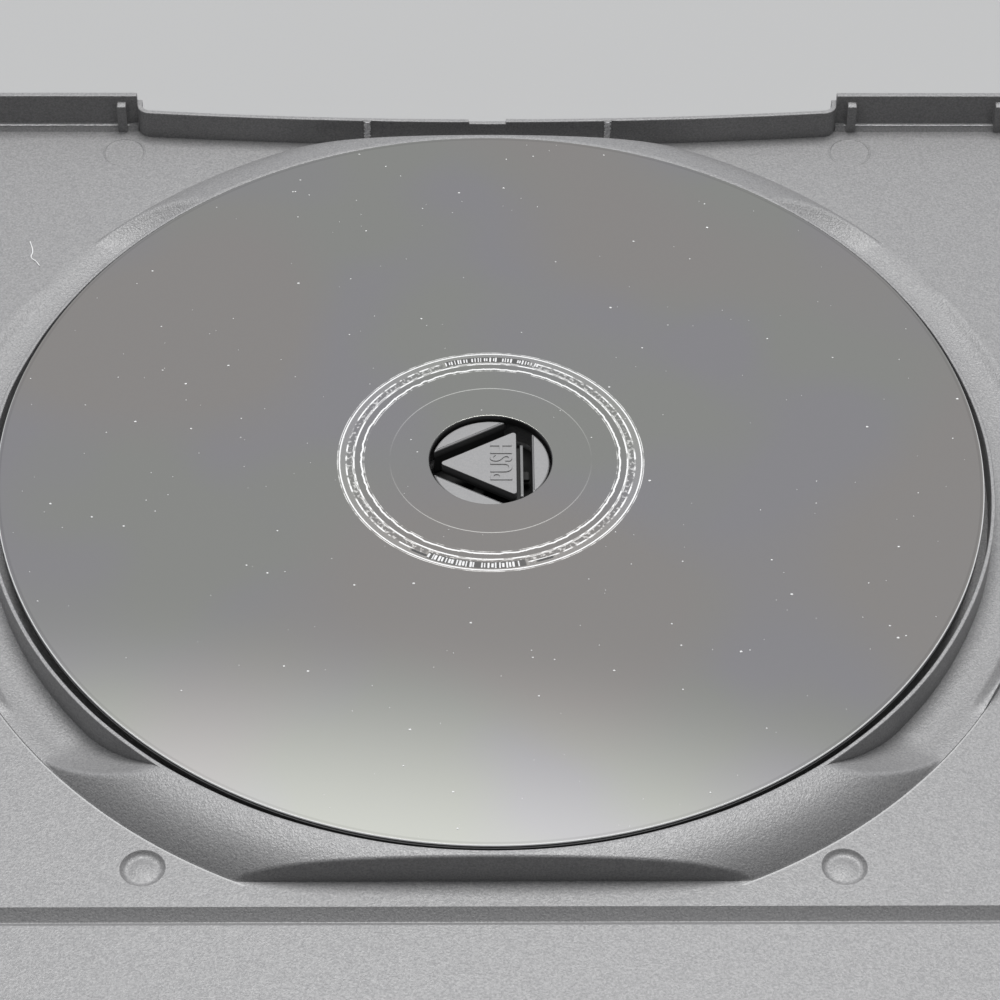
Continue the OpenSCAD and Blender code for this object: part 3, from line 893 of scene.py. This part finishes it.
def groove_rail():
    """An L-shaped strip: a foot under the plate's side and a thin upright with rounded ends."""
    x = [2.9, 3.62, 3.66, 3.94, 3.98]
    section = [(x[0], 4.15), (x[4], 4.15), (x[4], 5.14), (x[3], 5.18), (x[2], 5.18), (x[1], 5.14),
               (x[1], 4.5), (x[0], 4.5)]
    ends = [-5.2, -5.1, -4.9, 3.3, 3.5, 3.6]
    inset = [0.12, 0.03, 0.0, 0.0, 0.03, 0.12]
    work = bmesh.new()
    rings = []
    for y, shrink in zip(ends, inset):
        rings.append([work.verts.new((px * MM + (shrink * MM if px == x[0] else 0.0),
                                      DISC.y + y * MM, (pz - (shrink if pz > 5 else 0)) * MM))
                      for px, pz in section])
    return new_piece("groove_rail", bar("groove_rail", work, rings), "push_plate", hub_plastic)


groove_rail()

# %% [markdown]
# ## Living hinges, film and paper
#
# Three thin things cross the folds: the web of plastic left in each hinge, the clear film round the
# outside and the paper behind it. Each is a closed strip with close rows near the fold. Film and paper
# are one sheet each on the real case. Each hinge joins two bodies, so a sheet is built as two halves
# that meet along the middle of the spine.


# %% A strip across a hinge
def folding_strip(name, side, ends, half_length, z_low, z_high, material):
    """A closed sheet across one hinge. side is 1 for the tray's hinge and -1 for the cover's."""
    fold = HINGE_Y
    rows = sorted({ends[0], ends[1]} | {fold + i * 0.2 * MM for i in range(-8, 9)
                                        if ends[0] < fold + i * 0.2 * MM < ends[1]})
    columns = [-half_length, -half_length / 3, half_length / 3, half_length]
    work = bmesh.new()
    layers = [[[work.verts.new((x, side * y, z)) for x in columns] for y in rows]
              for z in (z_low, z_high)]
    last = len(columns) - 1
    for layer in layers:
        for a, b in zip(layer, layer[1:]):
            for k in range(last):
                work.faces.new((a[k], a[k + 1], b[k + 1], b[k]))
    bottom, top = layers
    for i in range(len(rows) - 1):
        for k in (0, last):
            work.faces.new((bottom[i][k], bottom[i + 1][k], top[i + 1][k], top[i][k]))
    for i in (0, len(rows) - 1):
        for k in range(last):
            work.faces.new((bottom[i][k], bottom[i][k + 1], top[i][k + 1], top[i][k]))
    bmesh.ops.recalc_face_normals(work, faces=work.faces)
    mesh = as_mesh(name, work)
    mesh.shade_smooth()
    mesh.set_sharp_from_angle(angle=math.radians(40))
    piece = new_piece(name, mesh, None, material)
    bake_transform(piece)
    return piece


# %% The webs, the film and the paper
WEB_REACH = 1.4 * MM
WEB_GAP = 0.02 * MM
WEB_TOP = BASE_Z + 0.19 * MM
for side, half in ((1, "back"), (-1, "front")):
    folding_strip(f"hinge_web_{half}", side, (HINGE_Y - WEB_REACH, HINGE_Y + WEB_REACH),
                  tray_high.x - WEB_GAP, BASE_Z + WEB_GAP, WEB_TOP, tray_plastic)
    film = folding_strip(f"film_{half}_sheet", side, (0.0, film_high.y), film_high.x, film_low.z,
                         film_high.z, clear_film)
    paper = folding_strip(f"paper_{half}_sheet", side, (0.0, paper_high.y), paper_high.x, paper_low.z,
                          paper_high.z, inlay_paper)
    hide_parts(f"film_{half}")
    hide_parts(f"paper_{half}")
    if side > 0:
        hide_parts("film_spine")
        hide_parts("paper_spine")

# %% [markdown]
# ## Geometry Nodes helpers
#
# Some pieces follow a rule: the disc is one profile taken round an axis, and the marks of its code
# ring and the dust are one small shape repeated. Each tree has named inputs for its sizes. A
# modifier's inputs are set by socket identifier, which the interface gives, before the object is
# first evaluated.


# %% Trees with named inputs
def new_tree(name, inputs):
    """A geometry tree. inputs maps a name to (socket type, default)."""
    tree = bpy.data.node_groups.new(name, "GeometryNodeTree")
    tree.is_modifier = True
    tree.interface.new_socket("Geometry", in_out="OUTPUT", socket_type="NodeSocketGeometry")
    for label, (kind, default) in inputs.items():
        socket = tree.interface.new_socket(label, in_out="INPUT", socket_type=f"NodeSocket{kind}")
        socket.default_value = default
    return tree, tree.nodes.new("NodeGroupInput"), tree.nodes.new("NodeGroupOutput")


def finish_tree(tree, end, geometry, material):
    """Ends a tree in Realize Instances and Set Material."""
    real = add(tree, "GeometryNodeRealizeInstances", {0: geometry})
    painted = add(tree, "GeometryNodeSetMaterial", {0: real.outputs[0], "Material": material})
    tree.links.new(painted.outputs[0], end.inputs[0])


def grow(tree, name, body, slot, material, **values):
    """Runs a tree on an empty mesh and keeps the result as a plain piece."""
    piece = into_scene(name, bpy.data.meshes.new(name))
    modifier = piece.modifiers.new("grow", "NODES")
    modifier.node_group = tree
    wanted = {label.replace("_", " "): value for label, value in values.items()}
    for item in tree.interface.items_tree:
        if item.in_out == "INPUT" and item.name in wanted:
            modifier[item.identifier] = wanted[item.name]
    apply_modifiers(piece)
    if not piece.data.materials:
        piece.data.materials.append(material)
    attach(piece, body)
    print(f"{name}: {len(piece.data.polygons)} faces")
    return piece


# %% [markdown]
# ## The disc
#
# A disc is a rounded strip taken round a circle: the path is a circle at the strip's middle, and the
# profile is a rectangle as wide as the data band, with its corners filleted.

# %% One profile, taken round
disc_tree, start, end = new_tree("turned_disc", {
    "Outer Radius": ("Float", 0.06), "Hole Radius": ("Float", 0.0075),
    "Thickness": ("Float", 0.0012), "Edge": ("Float", 0.00014), "Steps": ("Int", 512)})
whole = math_node(disc_tree, "ADD", start.outputs["Outer Radius"], start.outputs["Hole Radius"])
strip = math_node(disc_tree, "SUBTRACT", start.outputs["Outer Radius"], start.outputs["Hole Radius"])
path = add(disc_tree, "GeometryNodeCurvePrimitiveCircle", {
    "Resolution": start.outputs["Steps"],
    "Radius": math_node(disc_tree, "MULTIPLY", whole, 0.5)}, mode="RADIUS")
outline = add(disc_tree, "GeometryNodeCurvePrimitiveQuadrilateral", {
    "Width": strip, "Height": start.outputs["Thickness"]}, mode="RECTANGLE")
soft_outline = add(disc_tree, "GeometryNodeFilletCurve", {
    "Curve": outline.outputs[0], "Radius": start.outputs["Edge"], "Count": 3}, mode="POLY")
turned_disc = add(disc_tree, "GeometryNodeCurveToMesh", {
    "Curve": path.outputs[0], "Profile Curve": soft_outline.outputs[0]})
moved = add(disc_tree, "GeometryNodeTransform", {
    "Geometry": turned_disc.outputs[0], "Translation": (DISC.x, DISC.y, DISC.z)})
finish_tree(disc_tree, end, moved.outputs[0], disc_mirror)

disc_piece = grow(disc_tree, "game_disc", "tray", "disc_mirror", disc_mirror,
                  Outer_Radius=DISC_RADIUS, Hole_Radius=HOLE_RADIUS, Thickness=disc_high.z - disc_low.z)
smooth_hard(disc_piece, 60)
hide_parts("disc")

# %% [markdown]
# ## Marks of the code ring
#
# The band outside the stacking ring carries fine printed marks. They are generic: short strokes along
# an arc, each with its own length, some left out. One tree serves the near and the far arc.

# %% Strokes along an arc
mark_tree, start, end = new_tree("code_marks", {
    "Radius": ("Float", 0.0172), "Count": ("Int", 60), "From": ("Float", 0.0), "Sweep": ("Float", 1.0),
    "Stroke": ("Float", 0.0005), "Width": ("Float", 0.00005), "Keep": ("Float", 0.7),
    "Seed": ("Int", 1)})
points = add(mark_tree, "GeometryNodePoints", {"Count": start.outputs["Count"]})
index = add(mark_tree, "GeometryNodeInputIndex").outputs[0]
shift = add(mark_tree, "FunctionNodeRandomValue", {2: -0.3, 3: 0.3, "Seed": start.outputs["Seed"]},
            data_type="FLOAT").outputs[1]
part = math_node(mark_tree, "DIVIDE", math_node(mark_tree, "ADD", index, shift), start.outputs["Count"])
angle = math_node(mark_tree, "MULTIPLY_ADD", part, start.outputs["Sweep"], start.outputs["From"])
across = math_node(mark_tree, "MULTIPLY", math_node(mark_tree, "COSINE", angle), start.outputs["Radius"])
along = math_node(mark_tree, "MULTIPLY", math_node(mark_tree, "SINE", angle), start.outputs["Radius"])
spot = add(mark_tree, "ShaderNodeCombineXYZ", {
    0: math_node(mark_tree, "ADD", across, DISC.x), 1: math_node(mark_tree, "ADD", along, DISC.y),
    2: DISC_TOP + 0.004 * MM}).outputs[0]
placed = add(mark_tree, "GeometryNodeSetPosition", {"Geometry": points.outputs[0], "Position": spot})
dropped = add(mark_tree, "FunctionNodeRandomValue", {
    "Probability": math_node(mark_tree, "SUBTRACT", 1.0, start.outputs["Keep"]),
    "Seed": math_node(mark_tree, "ADD", start.outputs["Seed"], 7)}, data_type="BOOLEAN")
thinned = add(mark_tree, "GeometryNodeDeleteGeometry", {
    0: placed.outputs[0], 1: dropped.outputs[3]}, domain="POINT")
stroke = add(mark_tree, "GeometryNodeMeshGrid", {
    "Size X": start.outputs["Stroke"], "Size Y": start.outputs["Width"], "Vertices X": 2, "Vertices Y": 2})
turn = add(mark_tree, "ShaderNodeCombineXYZ", {2: angle}).outputs[0]
grown = add(mark_tree, "FunctionNodeRandomValue", {
    0: (0.70, 0.6, 1), 1: (1.1, 1.3, 1), "Seed": math_node(mark_tree, "ADD", start.outputs["Seed"], 3)},
    data_type="FLOAT_VECTOR")
copies = add(mark_tree, "GeometryNodeInstanceOnPoints", {
    "Points": thinned.outputs[0], "Instance": stroke.outputs[0], "Rotation": turn,
    "Scale": grown.outputs[0]})
finish_tree(mark_tree, end, copies.outputs[0], code_ink)

# %% Two arcs of marks
grow(mark_tree, "code_marks_near", "tray", "disc_mirror", code_ink, Radius=17.65 * MM, Count=27,
     From=math.radians(-115), Sweep=math.radians(38), Stroke=0.90 * MM, Width=0.23 * MM, Keep=0.92, Seed=5)
grow(mark_tree, "code_marks_far", "tray", "disc_mirror", code_ink, Radius=17.45 * MM, Count=34,
     From=math.radians(70), Sweep=math.radians(42), Stroke=0.70 * MM, Width=0.17 * MM, Keep=0.8, Seed=11)

# %% [markdown]
# ## Dust
#
# The photograph shows fine pale specks all over the disc and a few larger crumbs along the foot of
# the ring. Specks are scattered over a flat ring by a tree with a fixed seed. Each is a tiny
# flattened ball that rests on the surface. *Reach* keeps them inside the tray, towards its two walls.

# %% Specks over a flat ring
speck_tree, start, end = new_tree("scattered_specks", {
    "Inner": ("Float", 0.019), "Outer": ("Float", 0.059), "Height": ("Float", 0.0),
    "Density": ("Float", 9000.0), "Small": ("Float", 0.00003), "Large": ("Float", 0.0001),
    "Reach": ("Float", 0.062), "Seed": ("Int", 1)})
outer = add(speck_tree, "GeometryNodeMeshCircle", {
    "Vertices": 96, "Radius": start.outputs["Outer"]}, fill_type="NGON")
lifted = add(speck_tree, "GeometryNodeTransform", {
    "Geometry": outer.outputs[0],
    "Translation": add(speck_tree, "ShaderNodeCombineXYZ", {
        0: DISC.x, 1: DISC.y, 2: start.outputs["Height"]}).outputs[0]})
spread = add(speck_tree, "GeometryNodeDistributePointsOnFaces", {
    "Mesh": lifted.outputs[0], "Density": start.outputs["Density"], "Seed": start.outputs["Seed"]})
position = add(speck_tree, "GeometryNodeInputPosition").outputs[0]
from_axis = add(speck_tree, "ShaderNodeVectorMath", {0: position, 1: (DISC.x, DISC.y, 0)},
                operation="SUBTRACT").outputs[0]
level = add(speck_tree, "ShaderNodeVectorMath", {0: from_axis, 1: (1, 1, 0)},
            operation="MULTIPLY").outputs[0]
radius = add(speck_tree, "ShaderNodeVectorMath", {0: level}, operation="LENGTH").outputs["Value"]
too_near = add(speck_tree, "FunctionNodeCompare", {0: radius, 1: start.outputs["Inner"]},
               data_type="FLOAT", operation="LESS_THAN").outputs[0]
off_middle = math_node(speck_tree, "ABSOLUTE",
                       add(speck_tree, "ShaderNodeSeparateXYZ", {0: level}).outputs[1])
too_far = add(speck_tree, "FunctionNodeCompare", {0: off_middle, 1: start.outputs["Reach"]},
              data_type="FLOAT", operation="GREATER_THAN").outputs[0]
outside = add(speck_tree, "FunctionNodeBooleanMath", {0: too_near, 1: too_far}, operation="OR").outputs[0]
kept = add(speck_tree, "GeometryNodeDeleteGeometry", {0: spread.outputs[0], 1: outside}, domain="POINT")
ball = add(speck_tree, "GeometryNodeMeshIcoSphere", {"Radius": 1.0, "Subdivisions": 1})
squashed = add(speck_tree, "GeometryNodeTransform", {"Geometry": ball.outputs[0], "Scale": (1, 0.8, 0.5)})
size = add(speck_tree, "FunctionNodeRandomValue", {
    2: 0.0, 3: 1.0, "Seed": math_node(speck_tree, "ADD", start.outputs["Seed"], 4)}, data_type="FLOAT")
weight = math_node(speck_tree, "POWER", size.outputs[1], 3.0)
scale = math_node(speck_tree, "MULTIPLY_ADD", weight,
                  math_node(speck_tree, "SUBTRACT", start.outputs["Large"], start.outputs["Small"]),
                  start.outputs["Small"])
specks = add(speck_tree, "GeometryNodeInstanceOnPoints", {
    "Points": kept.outputs[0], "Instance": squashed.outputs[0], "Scale": scale})
finish_tree(speck_tree, end, specks.outputs[0], dust)

# %% Specks on the disc and on the tray's floor
grow(speck_tree, "disc_specks", "tray", None, dust, Inner=8.5 * MM, Outer=59.3 * MM,
     Height=DISC_TOP, Density=26000.0, Small=0.05 * MM, Large=0.20 * MM, Seed=3)
grow(speck_tree, "floor_specks", "tray", None, dust, Inner=OUTER + 0.2 * MM, Outer=OUTER + 24 * MM,
     Height=FLOOR_Z, Density=2000.0, Small=0.03 * MM, Large=0.10 * MM, Seed=8)
grow(speck_tree, "foot_specks", "tray", None, dust, Inner=OUTER - 0.05 * MM, Outer=OUTER + 0.15 * MM,
     Height=FLOOR_Z, Density=1300000.0, Small=0.03 * MM, Large=0.11 * MM, Reach=FLAT - 0.5 * MM, Seed=21)


# %% A fibre of lint
def lint(name, points, radius):
    """A thin round fibre through the points, as a curve turned into a mesh."""
    curve = bpy.data.curves.new(name, "CURVE")
    curve.dimensions = "3D"
    curve.bevel_depth = radius
    curve.bevel_resolution = 1
    spline = curve.splines.new("BEZIER")
    spline.bezier_points.add(len(points) - 1)
    for knot, (x, y) in zip(spline.bezier_points, points):
        knot.co = (x * MM, DISC.y + y * MM, FLOOR_Z + radius * 0.8)
        knot.handle_left_type = knot.handle_right_type = "AUTO"
    return new_piece(name, curve_mesh(curve), "tray", dust)


FIBRE = [(-59.9, 44.4), (-59.4, 42.4), (-59.5, 41.3), (-58.8, 40.5), (-58.3, 39.7)]
lint("lint_fibre", FIBRE, 0.08 * MM)


# %% Rough strips on the notch wall, and a painted highlight along the step
def rough_strip(name, corner, across, up, lift, count, seed):
    """A thin plate with jagged long edges, from a corner along two directions, standing off by lift."""
    draw = random.Random(seed)
    work = bmesh.new()
    rows = []
    for i in range(count + 1):
        base = corner + up * (i / count)
        left, right = draw.uniform(0.0, 0.22), draw.uniform(0.78, 1.0)
        edge = [base + across * left, base + across * right]
        rows.append([work.verts.new(point) for point in
                     (edge[0], edge[0] * 0.7 + edge[1] * 0.3 + lift * draw.uniform(0.7, 1.3),
                      edge[0] * 0.3 + edge[1] * 0.7 + lift * draw.uniform(0.7, 1.3), edge[1])])
    return new_piece(name, bar(name, work, rows), "tray", highlight_and_pale_strips)


def millimetres(x, y, z):
    return Vector((x, y, z)) * MM


# The strips along the step are a painted highlight. Those on the notch wall are pale, rough strips.
for side, where in ((-1, "left"), (1, "right")):
    rough_strip(f"step_strip_{where}", millimetres(side * 48.2, 139.72, 2.44), millimetres(0, 0.36, 0),
                millimetres(side * 46.2, 0, 0), millimetres(0, 0, 0.04), 110, 16 + side)
    rough_strip(f"notch_strip_{where}", millimetres(side * 16.1 - 0.50, 136.52, 2.3),
                millimetres(1.0, 0, 0), millimetres(0, 0, 3.5), millimetres(0, -0.09, 0), 26, 6 + side)

# %% [markdown]
# ## Light, floor and studio
#
# One large soft lamp stands behind the case and high, so the walls that face the camera stay dark.
# The world is a dim dome that brightens towards the top, which is what the disc mirrors.

# %% The floor
FLOOR_HALF = 3.0
FLOOR_LEVEL = -0.02 * MM
floor_mesh = bpy.data.meshes.new("floor")
floor_mesh.from_pydata([(x * FLOOR_HALF, y * FLOOR_HALF, FLOOR_LEVEL)
                        for x, y in ((-1, -1), (1, -1), (1, 1), (-1, 1))], [], [(0, 1, 2, 3)])
floor = into_scene("floor", floor_mesh)
floor_material, tree, shader, place = new_material("floor")
cloud = add(tree, "ShaderNodeTexNoise", {"Vector": place, "Scale": 3.0})
tree.links.new(mix_colour(tree, cloud.outputs[0], grey(0.38), grey(0.40)), shader.inputs["Base Color"])
shader.inputs["Roughness"].default_value = 0.9
floor_mesh.materials.append(floor_material)

# %% The lamp
key_data = bpy.data.lights.new("key", "AREA")
key_data.shape = "RECTANGLE"
key_data.size = 0.60
key_data.size_y = 0.50
key_data.energy = 9.5
key = into_scene("key", key_data)
KEY_ELEVATION = math.radians(75)
KEY_DISTANCE = 1.0
target = Vector((0, DISC.y, 0))
key.location = target + KEY_DISTANCE * Vector((0.03, math.cos(KEY_ELEVATION), math.sin(KEY_ELEVATION)))
key.rotation_euler = (key.location - target).to_track_quat("Z", "Y").to_euler()

# %% The studio
world = bpy.data.worlds.new("studio")
bpy.context.scene.world = world
world.use_nodes = True
tree = world.node_tree
sky = tree.nodes["Background"]
towards = add(tree, "ShaderNodeTexCoord")
apart = add(tree, "ShaderNodeSeparateXYZ", {0: towards.outputs["Generated"]})
side = span(tree, apart.outputs[1], -0.2, 0.5, 0.06, 0.41)
leaning = math_node(tree, "MULTIPLY_ADD", apart.outputs[0], -0.08, apart.outputs[2])
top = span(tree, leaning, 0.7445, 0.79, 0.0, 0.735, soft=True)
glow = math_node(tree, "ADD", side, top)
rays = add(tree, "ShaderNodeLightPath")
backdrop = mix_colour(tree, rays.outputs["Is Camera Ray"],
                      add(tree, "ShaderNodeCombineColor", {
                          0: math_node(tree, "MULTIPLY", glow, 0.98), 1: glow,
                          2: math_node(tree, "MULTIPLY_ADD", side, 0.06, glow)}).outputs[0],
                      (0.88, 0.88, 0.88, 1))
tree.links.new(backdrop, sky.inputs["Color"])
bpy.context.scene.view_settings.view_transform = "Standard"
